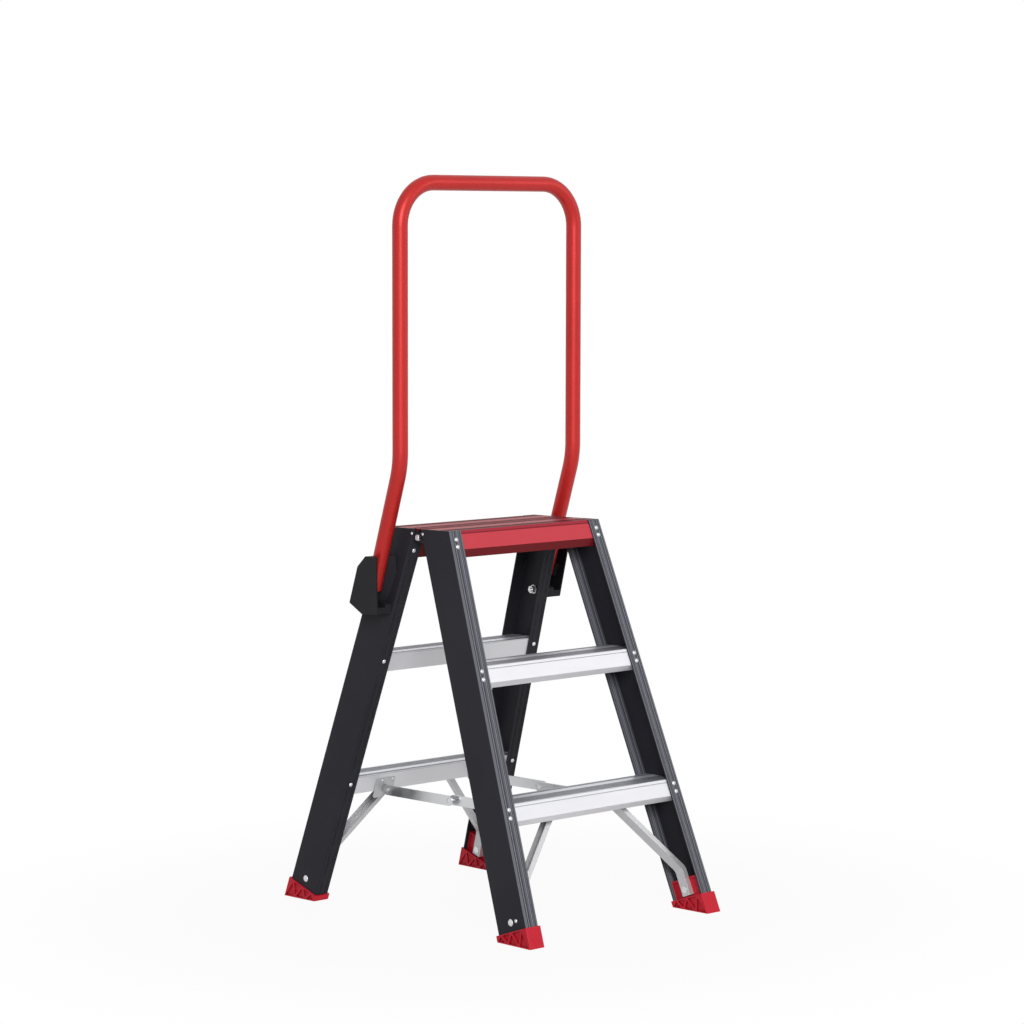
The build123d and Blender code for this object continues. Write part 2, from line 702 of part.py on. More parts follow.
def bracket_rivet_places(half):
    """Rivets that hold a left stay bracket to the tread's back wall, heads towards the hinge plane."""
    drop = STAY_PIVOT_DROP + BRACKET_RIVET_RISE
    face = TREAD_BACK - BRACKET_PLATE
    places = []
    for shift in (-BRACKET_RIVET_SPREAD, BRACKET_RIVET_SPREAD):
        places.append(HALF * Pos(shift - STAY_SIDE, -face, drop) * Rot(X=-90))
    return places


BRACKET_GRIP = BRACKET_PLATE + TREAD_WALL


def stay_bracket(half):
    """A left stay bracket: a plate on the tread's back wall with a tab and two ears beside the link."""
    outer = -STAY_SIDE - BRACKET_SHIFT - BRACKET_WIDTH / 2
    low_left = (Align.MIN, Align.MIN)
    height = BRACKET_ABOVE + BRACKET_BELOW
    sheet = Pos(outer, -BRACKET_BELOW) * Rectangle(BRACKET_WIDTH, height, align=low_left)
    sheet += Pos(outer, -TAB_DROP) * RectangleRounded(TAB_WIDTH, TAB_DROP, TAB_CORNER, align=low_left)
    plate = extrude(Plane.XZ * sheet, BRACKET_PLATE / 2, both=True)
    plate = Pos(0, BRACKET_PLATE / 2 - TREAD_BACK, STAY_PIVOT_DROP) * plate
    root = TREAD_BACK - BRACKET_PLATE - STAY_PIVOT_INSET
    web = Pos(-root / 2, 0) * Rectangle(root, 2 * EAR_RADIUS)
    profile = Circle(EAR_RADIUS) + web
    profile -= Circle(STAY_PIN_RADIUS + STAY_PIN_FIT)
    ear = extrude(Plane.YZ * profile, EAR_THICKNESS / 2, both=True)
    reach = STAY_THICKNESS / 2 + EAR_GAP + EAR_THICKNESS / 2
    for side in (-reach, reach):
        plate += Pos(side - link_side(half), -STAY_PIVOT_INSET, STAY_PIVOT_DROP) * ear
    bracket = HALF * plate
    for place in bracket_rivet_places(half):
        bracket -= place * rivet_hole(BRACKET_GRIP)
    return bracket


def stay_pin(half):
    """The pin through a left bracket's ears and its link."""
    length = STAY_THICKNESS + 2 * EAR_GAP + 2 * EAR_THICKNESS
    pin = along_x(STAY_PIN_RADIUS, length)
    for side in (-1, 1):
        head = along_x(STAY_PIN_HEAD, STAY_PIN_HEAD_HEIGHT)
        pin += Pos(side * (length + STAY_PIN_HEAD_HEIGHT) / 2, 0, 0) * head
    return Pos(-link_side(half), STAY_PIVOT_Y, STAY_HEIGHT) * pin


# Guard rail and its sockets, made at the front left and mirrored to the rear

RAIL_SIDE = web_side(SOCKET_FLOOR) + RAIL_OUT
RAIL_UP = Vector(0, TILT_SIN, TILT_COS)


def rail_leg_point(height):
    """A point on the centre line of the rail's left leg, below its kink."""
    return Vector(-RAIL_SIDE, depth_at(RAIL_OFFSET, height), height)


def rail_seat():
    """Where the rail's left leg stands, with Z up the leg and Y towards the hinge plane."""
    return Plane(rail_leg_point(SOCKET_FLOOR), x_dir=(1, 0, 0), z_dir=RAIL_UP)


def rail_path():
    """The left foot end, kink and upper corner, then the same on the right."""
    foot_end = rail_leg_point(SOCKET_FLOOR) + RAIL_UP * RAIL_PLUG_FLANGE
    kink = rail_leg_point(PLATFORM_HEIGHT + RAIL_KINK_RISE)
    lean = (RAIL_RISE - RAIL_KINK_RISE) * sin(radians(RAIL_LEAN)) / cos(radians(RAIL_LEAN))
    corner = Vector(-RAIL_SIDE, kink.Y + lean, PLATFORM_HEIGHT + RAIL_RISE)
    left = [foot_end, kink, corner]
    right = [Vector(-point.X, point.Y, point.Z) for point in reversed(left)]
    return left + right


def guard_rail():
    """The rail: one bent round tube."""
    points = rail_path()
    radii = [RAIL_KINK_RADIUS, RAIL_CORNER, RAIL_CORNER, RAIL_KINK_RADIUS]
    ring = Circle(RAIL_RADIUS) - Circle(RAIL_RADIUS - RAIL_WALL)
    return sweep(Plane(points[0], z_dir=RAIL_UP) * ring, path=FilletPolyline(*points, radius=radii))


def rail_plug():
    """The plug in the left leg's lower end."""
    inner = RAIL_RADIUS - RAIL_WALL - RAIL_PLUG_FIT
    flange = stem(RAIL_RADIUS, 0, RAIL_PLUG_FLANGE)
    plug = flange + stem(inner, RAIL_PLUG_FLANGE, RAIL_PLUG_FLANGE + RAIL_PLUG_LENGTH)
    return rail_seat().location * plug


def socket_outline():
    """Side view of a socket in Y and Z, from the top of its open front round to the toe."""
    corners = (
        (SOCKET_LIP_TOP, SOCKET_TOP_DROP),
        (SOCKET_CROWN, SOCKET_TOP_DROP),
        (SOCKET_SHOULDER, SOCKET_SHOULDER_DROP),
        (SOCKET_HEEL, SOCKET_HEEL_DROP),
        (SOCKET_SOLE, SOCKET_SOLE_DROP),
        (SOCKET_TOE, SOCKET_TOE_DROP),
    )
    heights = [PLATFORM_HEIGHT - drop for shift, drop in corners]
    return [(depth_at(shift, height), height) for (shift, drop), height in zip(corners, heights)]


def seat_prism(points, low, high):
    """A prism along the rail's left leg between two places, from an outline across the leg."""
    face = make_face(Polyline(*points, close=True).edges())
    return rail_seat().location * Pos(0, 0, low) * extrude(face, high - low)


def socket_mouth():
    """The open front of a left socket: wide above, narrow beside the rail's end, cut back below it."""
    run = cos(radians(SOCKET_CHEEK_ANGLE)) / sin(radians(SOCKET_CHEEK_ANGLE))
    far_cheek = (FAR * run, FAR)
    far_wall = (-FAR, FAR)
    shelf = SOCKET_SHELF_FRONT
    wide = ((0, 0), far_cheek, far_wall, (-FAR, 0))
    grip = ((-FAR, SOCKET_GRIP_DEPTH), (-SOCKET_GRIP, SOCKET_GRIP_DEPTH), (-SOCKET_GRIP, 0))
    below = ((shelf * run, shelf), far_cheek, far_wall, (-FAR, shelf))
    mouth = seat_prism(wide, SOCKET_COLLAR, FAR)
    mouth += seat_prism(((0, 0), far_cheek, far_wall) + grip, 0, SOCKET_COLLAR)
    return mouth + seat_prism(below, -2 * SOCKET_SHELF, 0)


def socket_pocket():
    """The room under a left socket's shelf, open above a sill, with a well for the bolt's head."""
    room = WASHER_RADIUS + SOCKET_FIT
    rise = SOCKET_BOLT_DROP / TILT_COS - SOCKET_SHELF
    block = Box(FAR, FAR, FAR, align=(Align.MAX, Align.MIN, Align.MIN))
    pocket = SOCKET_BOLT_PLACE * Pos(rise, -room, SOCKET_POCKET_INSET) * block
    pocket = pocket & slab(SOCKET_FLOOR - SOCKET_BOLT_DROP - SOCKET_SILL, FAR)
    return pocket + SOCKET_BOLT_PLACE * stem(room, SOCKET_BASE, FAR)


def rail_socket():
    """The left socket: a flared block with a seat for the rail, open at the top and in front."""
    face = Pos(-RAIL_SIDE - SOCKET_REACH, 0, SOCKET_FLOOR) * Rot(Y=-SOCKET_FLARE)
    inwards = Box(FAR, FAR, FAR, align=(Align.MIN, Align.CENTER, Align.CENTER))
    socket = side_prism(socket_outline(), -2 * RAIL_SIDE, 0) & face * inwards
    socket -= STILE * inwards
    socket -= rail_seat().location * stem(RAIL_RADIUS + SOCKET_FIT, 0, FAR)
    inside = face * Pos(SOCKET_WALL, 0, 0) * inwards
    socket -= socket_mouth() & inside
    socket -= socket_pocket() & inside
    return socket - SOCKET_BOLT_PLACE * stem(BOLT_RADIUS + BOLT_FIT, -SOCKET_BASE, 2 * SOCKET_BASE)


def socket_bolt():
    """The left socket's bolt: head in the socket's recess, thread end inside the channel."""
    end = WEB_WALL + WASHER_THICKNESS + NUT_HEIGHT + BOLT_STICK_OUT
    length = SOCKET_BASE + end
    shank = Pos(0, 0, SOCKET_BASE - length / 2) * Cylinder(BOLT_RADIUS, length)
    head = Pos(0, 0, SOCKET_BASE) * hexagon(BOLT_HEAD_FLATS, BOLT_HEAD_HEIGHT)
    return SOCKET_BOLT_PLACE * (shank + head)


def socket_washer():
    """The washer against the web, inside the channel."""
    ring = Cylinder(WASHER_RADIUS, WASHER_THICKNESS) - Cylinder(BOLT_RADIUS + BOLT_FIT, FAR)
    return SOCKET_BOLT_PLACE * Pos(0, 0, -WEB_WALL - WASHER_THICKNESS / 2) * ring


def socket_nut():
    """The nut on the washer."""
    nut = hexagon(BOLT_HEAD_FLATS, NUT_HEIGHT) - Cylinder(BOLT_RADIUS, FAR)
    return SOCKET_BOLT_PLACE * Pos(0, 0, -WEB_WALL - WASHER_THICKNESS - NUT_HEIGHT) * nut


# Assembly

def write_half(half):
    """All pieces of one half."""
    stile_left = stile()
    foot_left = foot()
    stile_left -= hinge_screw_hole()
    for place in leaf_rivet_places(half):
        stile_left -= place * rivet_hole(LEAF_GRIP)
    if half == "front":
        stile_left -= foot_rivet_hole()
        foot_left -= foot_rivet_hole()
    else:
        stile_left -= SOCKET_BOLT_PLACE * Cylinder(BOLT_RADIUS + BOLT_FIT, 4 * WEB_WALL)
    pieces = {
        "stile": stile_left,
        "foot": foot_left,
        "brace": brace(),
        "hinge_leaf": hinge_leaf(half),
        "stay_bracket": stay_bracket(half),
    }
    for side in ("left", "right"):
        for name, shape in pieces.items():
            write(f"{half}_{side}_{name}", [on_corner(shape, half, side)])

    lower = step_tread(LOWER_TOP)
    holes = [brace_rivet_place() * rivet_hole(BRACE_GRIP)]
    holes += [place * rivet_hole(BRACKET_GRIP) for place in bracket_rivet_places(half)]
    for hole in holes:
        lower = lower - hole - mirrored(hole)
    top = top_tread()
    holes = [place * rivet_hole(LEAF_GRIP) for place in leaf_rivet_places(half)]
    for hole in holes + [hinge_screw_hole()]:
        top = top - hole - mirrored(hole)
    treads = {"lower": lower, "upper": step_tread(UPPER_TOP), "top": top}
    for name, shape in treads.items():
        write(f"{half}_{name}_tread", [on_corner(shape, half, "left")])

    groups = {
        "tread_rivets": [place * rivet(TREAD_GRIP) for place in tread_rivet_places()],
        "brace_bolts": [
            BRACE_BOLT_PLACE
            * rivet(BRACE_BACK, BRACE_BOLT_SHANK, BRACE_BOLT_HEAD, BRACE_BOLT_DOME, BRACE_BOLT_HEAD)
        ],
        "brace_rivets": [brace_rivet_place() * rivet(BRACE_GRIP)],
        "hinge_rivets": [place * leaf_rivet() for place in leaf_rivet_places(half)] + [hinge_screw()],
        "stay_bracket_rivets": [place * rivet(BRACKET_GRIP) for place in bracket_rivet_places(half)],
        "stay_pins": [stay_pin(half)],
    }
    if half == "front":
        groups["foot_rivets"] = [foot_rivet()]
    for name, shapes in groups.items():
        both = [on_corner(shape, half, side) for side in ("left", "right") for shape in shapes]
        write(f"{half}_{name}", both)


def write_stays():
    """The four links and the halves of their middle rivets."""
    for half in ("front", "rear"):
        for side in ("left", "right"):
            write(f"{half}_{side}_stay", [on_corner(stay_link(half), half, side)])
            write(f"{half}_{side}_stay_rivet", [on_corner(stay_rivet_half(half), half, side)])


def write_rail():
    """The guard rail with its plugs, sockets and socket fasteners, all on the rear half."""
    write("guard_rail", [on_corner(guard_rail(), "rear", "left")])
    for side in ("left", "right"):
        write(f"{side}_rail_plug", [on_corner(rail_plug(), "rear", side)])
        write(f"{side}_rail_socket", [on_corner(rail_socket(), "rear", side)])
        write(f"{side}_hinge_pin", [on_corner(hinge_pin(), "rear", side)])
    fasteners = {"bolts": socket_bolt(), "washers": socket_washer(), "nuts": socket_nut()}
    for name, shape in fasteners.items():
        write(f"rail_socket_{name}", [on_corner(shape, "rear", side) for side in ("left", "right")])


def fold_ratio():
    """Turn of a stay link on its half for each degree that the front half folds."""
    reach = -STAY_PIVOT_Y
    swing = acos(STAY_PIVOT_INSET / reach)
    return (degrees(swing) - LEG_TILT) / (2 * LEG_TILT)


os.makedirs("parts", exist_ok=True)
write_half("front")
write_half("rear")
write_stays()
write_rail()
print("fold range", 2 * LEG_TILT, "stay ratio", fold_ratio())
print("hinge axis height", HINGE_HEIGHT, "stay pivot", STAY_SIDE, STAY_PIVOT_Y, STAY_HEIGHT)
print("rail lifts along", RAIL_UP)
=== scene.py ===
import json
from math import cos, radians, sin, tan

import bpy
from mathutils import Matrix, Vector

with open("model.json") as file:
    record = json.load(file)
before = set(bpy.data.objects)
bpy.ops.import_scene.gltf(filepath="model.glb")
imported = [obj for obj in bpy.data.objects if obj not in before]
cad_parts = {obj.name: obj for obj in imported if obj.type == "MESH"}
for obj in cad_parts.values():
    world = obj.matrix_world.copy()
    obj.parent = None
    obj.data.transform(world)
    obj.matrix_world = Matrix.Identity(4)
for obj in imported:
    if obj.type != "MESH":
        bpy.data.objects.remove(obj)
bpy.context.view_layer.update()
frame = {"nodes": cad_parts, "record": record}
scene = bpy.context.scene
scene.view_settings.view_transform = "Standard"

BLACK = (0.0, 0.0, 0.0)
WHITE = (1.0, 1.0, 1.0)

# Lines of the ladder that materials follow, in metres and radians
LEAN = radians(19.7)
TAPER = radians(3.6)
HINGE_HEIGHT = 0.686
BROW_START = 0.6945
BROW_END = 0.6955
STRIP_REACH = 0.1
STRIP_BLUR = 0.001

# The range that most of a noise lies in
NOISE_LOW = 0.3
NOISE_HIGH = 0.7

# Half the band of upright faces and its soft border, as shares of the way from down to up
UPRIGHT_CORE = 0.05
UPRIGHT_BLUR = 0.03

# Noise scales that draw die lines along a piece
ALONG_TREAD = (6.0, 900.0, 900.0)
ALONG_BRACE = (120.0, 900.0, 120.0)


# Node helpers

class Shader:
    """A node material with a Principled shader, and short calls that add nodes to it."""

    def __init__(self, name, **values):
        self.name = name
        self.material = bpy.data.materials.new(name)
        self.material.use_nodes = True
        self.tree = self.material.node_tree
        self.surface = self.tree.nodes["Principled BSDF"]
        for socket, value in values.items():
            self.surface.inputs[socket.replace("_", " ")].default_value = value
        spot = self.node("ShaderNodeTexCoord")
        self.place = spot.outputs["Object"]
        self.facing = spot.outputs["Normal"]

    def node(self, kind, **settings):
        made = self.tree.nodes.new(kind)
        for name, value in settings.items():
            setattr(made, name, value)
        return made

    def link(self, source, target):
        self.tree.links.new(source, target)

    def feed(self, socket, source):
        self.link(source, self.surface.inputs[socket])

    def stretched(self, scale):
        """The object's own coordinates, multiplied along each axis."""
        mapping = self.node("ShaderNodeMapping")
        mapping.inputs["Scale"].default_value = scale
        self.link(self.place, mapping.inputs["Vector"])
        return mapping.outputs["Vector"]

    def noise(self, scale, detail, rough=0.55, vector=None):
        made = self.node("ShaderNodeTexNoise")
        made.inputs["Scale"].default_value = scale
        made.inputs["Detail"].default_value = detail
        made.inputs["Roughness"].default_value = rough
        self.link(vector or self.place, made.inputs["Vector"])
        return made.outputs["Fac"]

    def span(self, source, low, high, start=NOISE_LOW, end=NOISE_HIGH):
        """A value stretched from the range start to end onto the range low to high."""
        made = self.node("ShaderNodeMapRange")
        made.inputs["From Min"].default_value = start
        made.inputs["From Max"].default_value = end
        made.inputs["To Min"].default_value = low
        made.inputs["To Max"].default_value = high
        self.link(source, made.inputs["Value"])
        return made.outputs["Result"]

    def ramp(self, source, *stops):
        made = self.node("ShaderNodeValToRGB")
        elements = made.color_ramp.elements
        while len(elements) < len(stops):
            elements.new(0.5)
        for element, (position, colour) in zip(elements, stops):
            element.position = position
            element.color = (*colour, 1.0)
        self.link(source, made.inputs["Fac"])
        return made.outputs["Color"]

    def clouded(self, cloud, dark, light):
        """Two tones that drift into each other with a noise."""
        return self.ramp(cloud, (NOISE_LOW, dark), (NOISE_HIGH, light))

    def mixed(self, share, first, second):
        """One colour or the other by share. A colour is a socket or three numbers."""
        made = self.node("ShaderNodeMix", data_type="RGBA")
        self.link(share, made.inputs["Factor"])
        for socket, colour in (("A", first), ("B", second)):
            target = next(i for i in made.inputs if i.name == socket and i.type == "RGBA")
            if isinstance(colour, tuple):
                target.default_value = (*colour, 1.0)
            else:
                self.link(colour, target)
        return next(o for o in made.outputs if o.type == "RGBA")

    def worked(self, operation, *values):
        """The result of a maths node on sockets or numbers."""
        made = self.node("ShaderNodeMath", operation=operation)
        for socket, value in zip(made.inputs, values):
            if isinstance(value, float):
                socket.default_value = value
            else:
                self.link(value, socket)
        return made.outputs["Value"]

    def part_of(self, vector, axis):
        """One of the three numbers of a vector."""
        parts = self.node("ShaderNodeSeparateXYZ")
        self.link(vector, parts.inputs["Vector"])
        return parts.outputs[axis]

    def along(self, axis):
        """One of the object's own coordinates."""
        return self.part_of(self.place, axis)

    def slope(self, start, end):
        """Zero to one between two values of how far a face looks up."""
        return self.span(self.part_of(self.facing, "Z"), low=0.0, high=1.0, start=start, end=end)

    def upright(self):
        """One on faces that look neither up nor down, such as the walls of grooves and cut ends."""
        rising = self.slope(-1.0, 1.0)
        core = UPRIGHT_CORE
        border = UPRIGHT_CORE + UPRIGHT_BLUR
        lower = ((0.5 - border, BLACK), (0.5 - core, WHITE))
        upper = ((0.5 + core, WHITE), (0.5 + border, BLACK))
        return self.ramp(rising, *lower, *upper)

    def hinge_distance(self):
        """Distance from the hinge plane of the half that a spot is on."""
        level = self.worked("MULTIPLY", self.worked("ABSOLUTE", self.along("Y")), cos(LEAN))
        rise = self.worked("SUBTRACT", self.along("Z"), HINGE_HEIGHT)
        return self.worked("MULTIPLY_ADD", rise, sin(LEAN), level)

    def stile_lines(self, scale, detail):
        """Noise that runs in fine lines along the stiles."""
        side = self.worked("ABSOLUTE", self.along("X"))
        across = self.worked("MULTIPLY_ADD", self.along("Z"), tan(TAPER) / cos(LEAN), side)
        made = self.node("ShaderNodeTexNoise", noise_dimensions="1D")
        made.inputs["Scale"].default_value = scale
        made.inputs["Detail"].default_value = detail
        self.link(across, made.inputs["W"])
        return made.outputs["Fac"]

    def shelter(self, distance, inside=False):
        """How open a spot is: low in grooves and corners, or inside it, low along sharp edges."""
        made = self.node("ShaderNodeAmbientOcclusion", samples=6, only_local=True, inside=inside)
        made.inputs["Distance"].default_value = distance
        return made.outputs["AO"]

    def edges(self, radius):
        """Normal with edges rounded by this radius."""
        made = self.node("ShaderNodeBevel", samples=4)
        made.inputs["Radius"].default_value = radius
        return made.outputs["Normal"]

    def bump(self, height, strength, distance, normal):
        made = self.node("ShaderNodeBump")
        made.inputs["Strength"].default_value = strength
        made.inputs["Distance"].default_value = distance
        self.link(height, made.inputs["Height"])
        self.link(normal, made.inputs["Normal"])
        return made.outputs["Normal"]


# Material makers

def coated(name, dark, light, worn, rough, peel, painted_sheen=None, **values):
    """Powder coat on metal: a satin colour with fine orange peel, rubbed lighter along its edges.

    Painted sheen is a paler tone painted in fine lines on the faces of the stiles that look up, kept off
    sheltered spots.
    """
    shader = Shader(name, **values)
    tone = shader.clouded(shader.noise(scale=7.0, detail=4.0), dark, light)
    if painted_sheen:
        # Painted sheen: paler lines on faces that look up stand in for light gleaming on the flanges, with
        # less of it in sheltered spots as painted shade.
        lines = shader.stile_lines(scale=330.0, detail=2.0)
        streaks = shader.span(lines, low=0.15, high=1.0, start=0.36, end=0.62)
        lying = shader.worked("MULTIPLY", shader.slope(0.12, 0.30), streaks)
        open_spots = shader.span(shader.shelter(distance=0.03), low=0.3, high=1.0, start=0.5, end=0.95)
        tone = shader.mixed(shader.worked("MULTIPLY", lying, open_spots), tone, painted_sheen)
    sharpness = shader.shelter(distance=0.0015, inside=True)
    edge = shader.span(sharpness, low=1.0, high=0.0, start=0.45, end=0.75)
    patches = shader.span(shader.noise(scale=55.0, detail=4.0), low=0.0, high=0.7, start=0.45, end=0.65)
    rubbed = shader.worked("MULTIPLY", edge, patches)
    shader.feed("Base Color", shader.mixed(rubbed, tone, worn))
    speck = shader.noise(scale=420.0, detail=2.0)
    shader.feed("Roughness", shader.span(speck, low=rough - 0.05, high=rough + 0.05))
    bumps = shader.noise(scale=700.0, detail=2.0)
    rounded = shader.edges(radius=0.0006)
    shader.feed("Normal", shader.bump(bumps, strength=peel, distance=0.0004, normal=rounded))
    return shader


def extruded(name, dark, light, groove_shade, rough, along, under_shade=None, brow_shade=None, top=None, flat=None, **values):
    """Drawn metal with faint die lines along one axis, with painted shade in its grooves and where given.

    Under shade is a tone painted as shade on its lower side, brow shade a band painted as shade along its
    upper front edge, and top a tone painted as shade on its ribs. Flat is the strip between the ribs, given
    by where it starts and ends from the hinge plane, and its paler tone, a painted sheen.
    """
    shader = Shader(name, **values)
    lines = shader.noise(scale=1.0, detail=5.0, rough=0.7, vector=shader.stretched(along))
    tone = shader.mixed(shader.noise(scale=9.0, detail=3.0), dark, light)
    tone = shader.mixed(shader.span(lines, low=0.0, high=0.35), tone, light)
    # Painted shade: a darker tone on faces that look down.
    if under_shade:
        tone = shader.mixed(shader.slope(-0.02, -0.14), tone, under_shade)
    # Painted shade: a darker band along the upper front edge.
    if brow_shade:
        raised = shader.span(shader.along("Z"), low=0.0, high=1.0, start=BROW_START, end=BROW_END)
        tone = shader.mixed(raised, tone, brow_shade)
    # Painted shade and sheen on the ribbed top: dark rib bands stand in for the shade in their grooves, the
    # paler flat strip for its sheen.
    if top:
        # Painted shade on the walls of the rib grooves and on cut ends.
        tone = shader.mixed(shader.upright(), tone, groove_shade)
        start, end, strip_sheen = flat
        reach = shader.span(shader.hinge_distance(), low=0.0, high=1.0, start=0.0, end=STRIP_REACH)
        stops = (
            (start - STRIP_BLUR, top), (start + STRIP_BLUR, strip_sheen),
            (end - STRIP_BLUR, strip_sheen), (end + STRIP_BLUR, top),
        )
        painted_top_bands = shader.ramp(reach, *((distance / STRIP_REACH, colour) for distance, colour in stops))
        tone = shader.mixed(shader.slope(0.75, 0.95), tone, painted_top_bands)
    # Painted shade: the groove tone darkens grooves, corners and hollows.
    hollow_shade = shader.span(shader.shelter(distance=0.004), low=1.0, high=0.0, start=0.45, end=0.95)
    shader.feed("Base Color", shader.mixed(hollow_shade, tone, groove_shade))
    shader.feed("Roughness", shader.span(lines, low=rough - 0.06, high=rough + 0.07))
    rounded = shader.edges(radius=0.0005)
    shader.feed("Normal", shader.bump(lines, strength=0.10, distance=0.0003, normal=rounded))
    return shader


def plated(name, dark, light, rough, corner_shade=(0.12, 0.12, 0.13), **values):
    """Zinc plate with a faint cloud in tone and gloss, with painted shade in its corners."""
    shader = Shader(name, **values)
    cloud = shader.noise(scale=30.0, detail=4.0)
    # Painted shade: a dark tone in corners and hollows.
    hollow_shade = shader.span(shader.shelter(distance=0.004), low=0.6, high=0.0, start=0.4, end=0.9)
    shader.feed("Base Color", shader.mixed(hollow_shade, shader.clouded(cloud, dark, light), corner_shade))
    shader.feed("Roughness", shader.span(cloud, low=rough - 0.05, high=rough + 0.06))
    rounded = shader.edges(radius=0.0004)
    shader.feed("Normal", shader.bump(cloud, strength=0.02, distance=0.0003, normal=rounded))
    return shader


def moulded(name, dark, light, shade, rough, **values):
    """Moulded plastic with a fine spark-eroded grain, with painted shade inside its pockets."""
    shader = Shader(name, **values)
    tone = shader.clouded(shader.noise(scale=14.0, detail=3.0), dark, light)
    # Painted shade: the shade tone deepens pockets and hollows.
    hollow_shade = shader.span(shader.shelter(distance=0.009), low=1.0, high=0.0, start=0.35, end=0.95)
    shader.feed("Base Color", shader.mixed(hollow_shade, tone, shade))
    pits = shader.noise(scale=700.0, detail=3.0, rough=0.65)
    shader.feed("Roughness", shader.span(pits, low=rough - 0.06, high=rough + 0.08))
    rounded = shader.edges(radius=0.0007)
    shader.feed("Normal", shader.bump(pits, strength=0.18, distance=0.0003, normal=rounded))
    return shader


# Materials of the ladder

made_looks = (
    # The charcoal coat's pale lines on upward faces are painted sheen.
    coated(
        "charcoal_coat", dark=(0.0245, 0.0240, 0.0310), light=(0.0305, 0.0300, 0.0375),
        worn=(0.08, 0.08, 0.09), rough=0.40, peel=0.06, painted_sheen=(0.270, 0.280, 0.318),
        Specular_IOR_Level=0.08,
    ),
    coated(
        "rail_red", dark=(0.49, 0.014, 0.012), light=(0.56, 0.019, 0.017),
        worn=(0.63, 0.040, 0.036), rough=0.40, peel=0.02,
        Specular_IOR_Level=0.45, Metallic=0.30,
    ),
    # The treads' groove tone and dark rib tops are painted shade, and their pale flat strip a painted
    # sheen.
    extruded(
        "tread_aluminium", dark=(0.63, 0.63, 0.657), light=(0.72, 0.72, 0.748),
        groove_shade=(0.15, 0.152, 0.168), rough=0.42, along=ALONG_TREAD,
        top=(0.52, 0.527, 0.575), flat=(0.029, 0.049, (0.76, 0.768, 0.83)),
        Metallic=0.5,
    ),
    # The braces' groove tone is painted shade in their hollows.
    extruded(
        "brace_aluminium", dark=(0.52, 0.52, 0.54), light=(0.62, 0.62, 0.64),
        groove_shade=(0.42, 0.42, 0.44), rough=0.40, along=ALONG_BRACE,
        Metallic=0.35,
    ),
    # The platform's groove, under, brow and rib-top tones are painted shade, and its paler flat strip a
    # painted sheen.
    extruded(
        "platform_red", dark=(0.57, 0.050, 0.068), light=(0.65, 0.058, 0.079),
        groove_shade=(0.06, 0.003, 0.006), rough=0.42, along=ALONG_TREAD,
        under_shade=(0.15, 0.008, 0.012), brow_shade=(0.40, 0.026, 0.046),
        top=(0.15, 0.007, 0.011), flat=(0.0277, 0.0603, (0.37, 0.022, 0.035)),
        Specular_IOR_Level=0.15,
    ),
    # The feet's shade tone is painted shade in their pockets.
    moulded(
        "foot_red", dark=(0.59, 0.014, 0.033), light=(0.67, 0.018, 0.040),
        shade=(0.27, 0.001, 0.006), rough=0.42,
        Specular_IOR_Level=0.2,
    ),
    # The black plastic's shade tone is painted shade in its hollows.
    moulded(
        "black_plastic", dark=(0.014, 0.0138, 0.0180), light=(0.019, 0.0187, 0.0235),
        shade=(0.015, 0.015, 0.018), rough=0.46,
        Specular_IOR_Level=0.12,
    ),
    plated("zinc_steel", dark=(0.60, 0.605, 0.62), light=(0.66, 0.665, 0.68), rough=0.30, Metallic=1.0),
    plated("rivet_steel", dark=(0.62, 0.625, 0.64), light=(0.74, 0.745, 0.76), rough=0.38, Metallic=0.6),
    plated("dull_zinc", dark=(0.46, 0.465, 0.475), light=(0.54, 0.545, 0.555), rough=0.45, Metallic=0.5),
)
looks = {shader.name: shader.material for shader in made_looks}
DULL_NODES = ("stay_bracket", "stay_bracket_rivets")
for row in frame["record"]["subparts"]:
    mesh = frame["nodes"][row["node"]].data
    slot = "dull_zinc" if row["node"].endswith(DULL_NODES) else row["material_slot"]
    mesh.materials.clear()
    mesh.materials.append(looks[slot])


# Floor, which the camera sees as white paper with a faint shadow

FLOOR_SIZE = 40.0
FLOOR_WHITE = 0.60
SHADOW_SHARE = 0.06
SHADOW_NEAR = 0.5
SHADOW_FAR = 1.1


def joined(tree, operation, first, second):
    """The result of a maths node on two sockets."""
    made = tree.nodes.new("ShaderNodeMath")
    made.operation = operation
    tree.links.new(first, made.inputs[0])
    tree.links.new(second, made.inputs[1])
    return made.outputs["Value"]


def seen_rays(tree):
    """One for rays that show the background: camera, glossy and transmission rays."""
    rays = tree.nodes.new("ShaderNodeLightPath").outputs
    direct = joined(tree, "MAXIMUM", rays["Is Camera Ray"], rays["Is Glossy Ray"])
    return joined(tree, "MAXIMUM", direct, rays["Is Transmission Ray"])


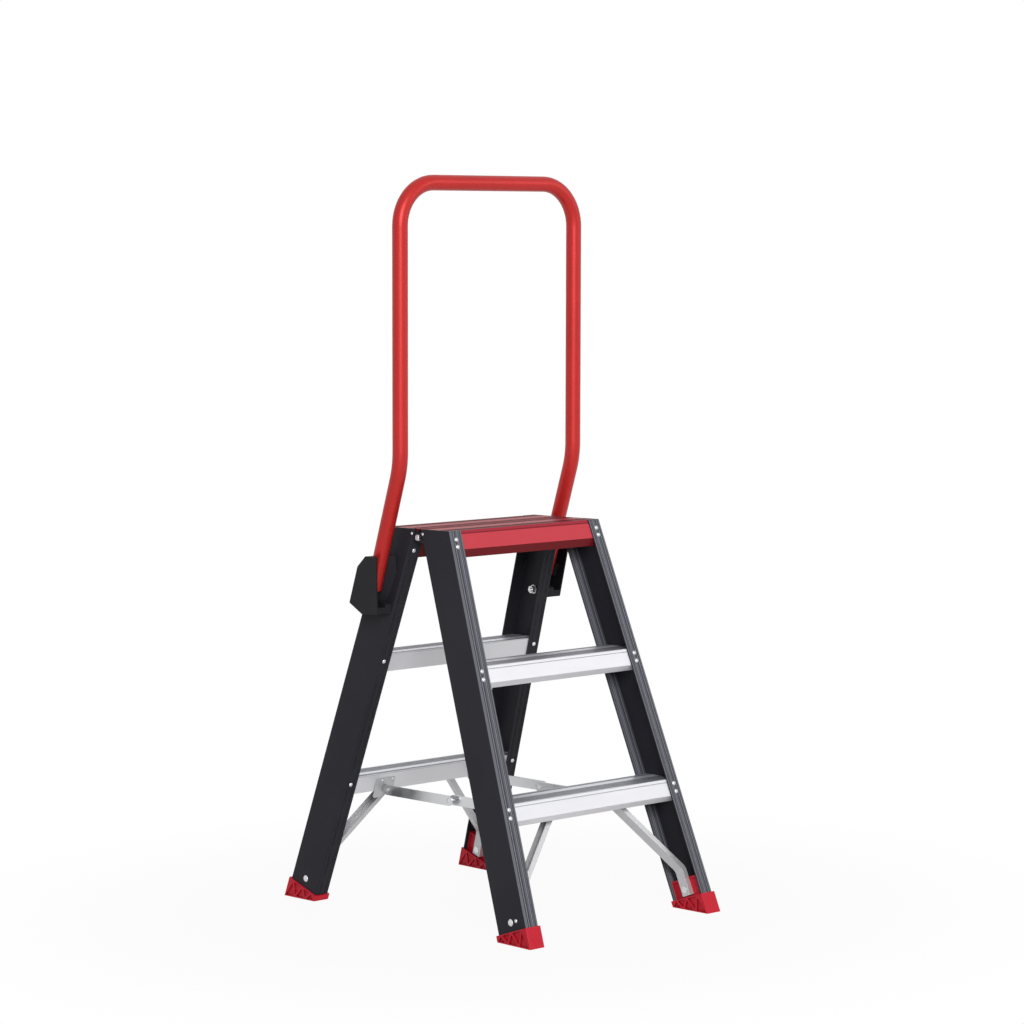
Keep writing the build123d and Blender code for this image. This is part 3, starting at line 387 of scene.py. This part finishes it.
def paper():
    """White where it is seen, and near the ladder a share of matt paper that takes its shadow."""
    material = bpy.data.materials.new("floor_paper")
    material.use_nodes = True
    tree = material.node_tree
    tree.nodes.clear()
    matte = tree.nodes.new("ShaderNodeBsdfDiffuse")
    matte.inputs["Color"].default_value = (FLOOR_WHITE, FLOOR_WHITE, FLOOR_WHITE, 1.0)
    glow = tree.nodes.new("ShaderNodeEmission")
    glow.inputs["Color"].default_value = (*WHITE, 1.0)
    spot = tree.nodes.new("ShaderNodeTexCoord")
    reach = tree.nodes.new("ShaderNodeVectorMath")
    reach.operation = "LENGTH"
    share = tree.nodes.new("ShaderNodeMapRange")
    share.inputs["From Min"].default_value = SHADOW_NEAR
    share.inputs["From Max"].default_value = SHADOW_FAR
    share.inputs["To Min"].default_value = 1.0 - SHADOW_SHARE
    share.inputs["To Max"].default_value = 1.0
    blend = tree.nodes.new("ShaderNodeMixShader")
    output = tree.nodes.new("ShaderNodeOutputMaterial")
    tree.links.new(spot.outputs["Object"], reach.inputs[0])
    tree.links.new(reach.outputs["Value"], share.inputs["Value"])
    glow_share = joined(tree, "MULTIPLY", seen_rays(tree), share.outputs["Result"])
    tree.links.new(glow_share, blend.inputs["Fac"])
    tree.links.new(matte.outputs["BSDF"], blend.inputs[1])
    tree.links.new(glow.outputs["Emission"], blend.inputs[2])
    tree.links.new(blend.outputs["Shader"], output.inputs["Surface"])
    return material


bpy.ops.mesh.primitive_plane_add(size=FLOOR_SIZE, location=(0, 0, 0))
floor = bpy.context.object
floor.name = "floor"
floor.data.materials.append(paper())


# World, white where it is seen and softer as a light

WORLD_LIGHT = 0.24

world = bpy.data.worlds.new("studio")
world.use_nodes = True
scene.world = world
sky = world.node_tree.nodes["Background"]
sky.inputs["Color"].default_value = (*WHITE, 1.0)
strength = world.node_tree.nodes.new("ShaderNodeMapRange")
strength.inputs["To Min"].default_value = WORLD_LIGHT
strength.inputs["To Max"].default_value = 1.0
world.node_tree.links.new(seen_rays(world.node_tree), strength.inputs["Value"])
world.node_tree.links.new(strength.outputs["Result"], sky.inputs["Strength"])


# Lamps

def softbox(name, place, target, size, power, shine=True):
    """A square lamp that faces a point, with or without its gleam on glossy faces."""
    lamp = bpy.data.lights.new(name, "AREA")
    lamp.shape = "SQUARE"
    lamp.size = size
    lamp.energy = power
    holder = bpy.data.objects.new(name, lamp)
    scene.collection.objects.link(holder)
    holder.visible_glossy = shine
    holder.location = place
    holder.rotation_euler = (Vector(target) - Vector(place)).to_track_quat("-Z", "Y").to_euler()


softbox("key", place=(-3.58, -5.52, 3.0), target=(0, 0, 0.6), size=3.0, power=320.0)
softbox("fill", place=(2.3, -2.6, 1.9), target=(0, 0, 0.5), size=1.6, power=14.0)
softbox("back", place=(3.9, 4.6, 2.3), target=(0, 0, 0.6), size=3.0, power=200.0, shine=False)


# Camera at the photograph's viewing angle

CAMERA_PLACE = Vector((-3.7383, -4.2553, 1.1357))
CAMERA_YAW = radians(-41.514)
CAMERA_PITCH = radians(-4.452)
CAMERA_ROLL = radians(-0.820)
CAMERA_LENS = 109.57
CAMERA_SENSOR = 36.0
CAMERA_SHIFT = (0.00716, 0.01415)
CAMERA_REACH = 100.0

ahead = Vector((
    -sin(CAMERA_YAW) * cos(CAMERA_PITCH),
    cos(CAMERA_YAW) * cos(CAMERA_PITCH),
    sin(CAMERA_PITCH),
))
level = Vector((cos(CAMERA_YAW), sin(CAMERA_YAW), 0))
above = level.cross(ahead)
right = level * cos(CAMERA_ROLL) + above * sin(CAMERA_ROLL)
up = above * cos(CAMERA_ROLL) - level * sin(CAMERA_ROLL)
lens = bpy.data.cameras.new("camera")
lens.lens = CAMERA_LENS
lens.sensor_width = CAMERA_SENSOR
lens.shift_x, lens.shift_y = CAMERA_SHIFT
lens.clip_end = CAMERA_REACH
camera = bpy.data.objects.new("camera", lens)
scene.collection.objects.link(camera)
axes = Matrix((right, up, -ahead)).transposed().to_4x4()
camera.matrix_world = Matrix.Translation(CAMERA_PLACE) @ axes
scene.camera = camera
